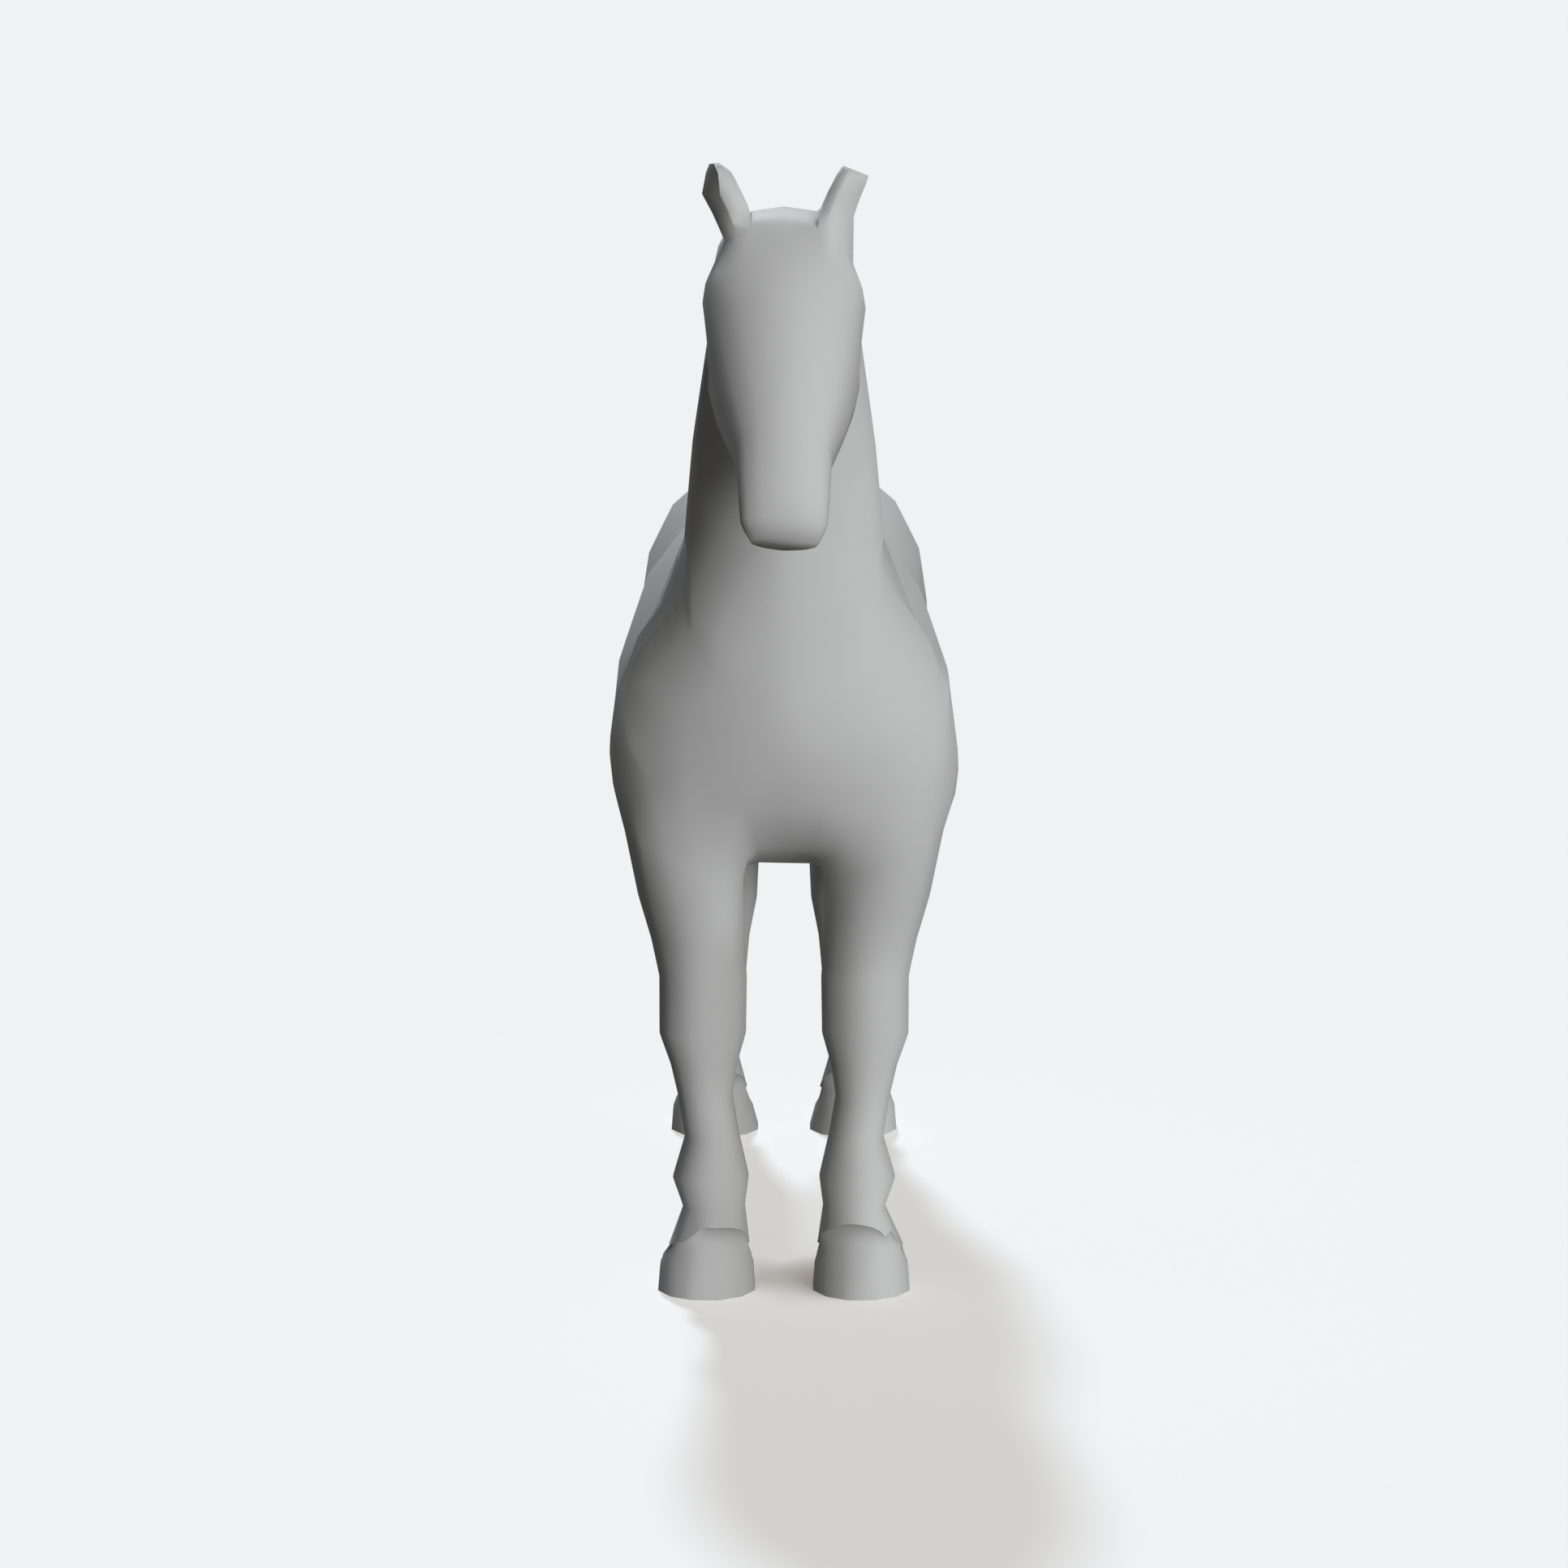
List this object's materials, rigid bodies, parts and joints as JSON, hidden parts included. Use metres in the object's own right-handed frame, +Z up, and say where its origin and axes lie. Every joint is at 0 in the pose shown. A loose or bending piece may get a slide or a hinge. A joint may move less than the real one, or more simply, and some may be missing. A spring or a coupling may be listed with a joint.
{
  "type": "geometric horse sculpture",
  "caption": "Standing horse ornament in smooth geometric facets, cast in one piece in matt grey resin, head held upright and tail hanging free; it rests on its flat hooves.",
  "frame": {"origin": "on the ground under the middle of the horse's box", "axes": "+Z up, the horse faces -Y, +X is its own left side"},
  "size_m": [0.0888, 0.305, 0.2955],
  "materials": {
    "cast_resin": "matt cast resin, neutral grey, unpolished"
  },
  "bodies": {
    "root": {"horse": "cast_resin"}
  },
  "joints": []
}
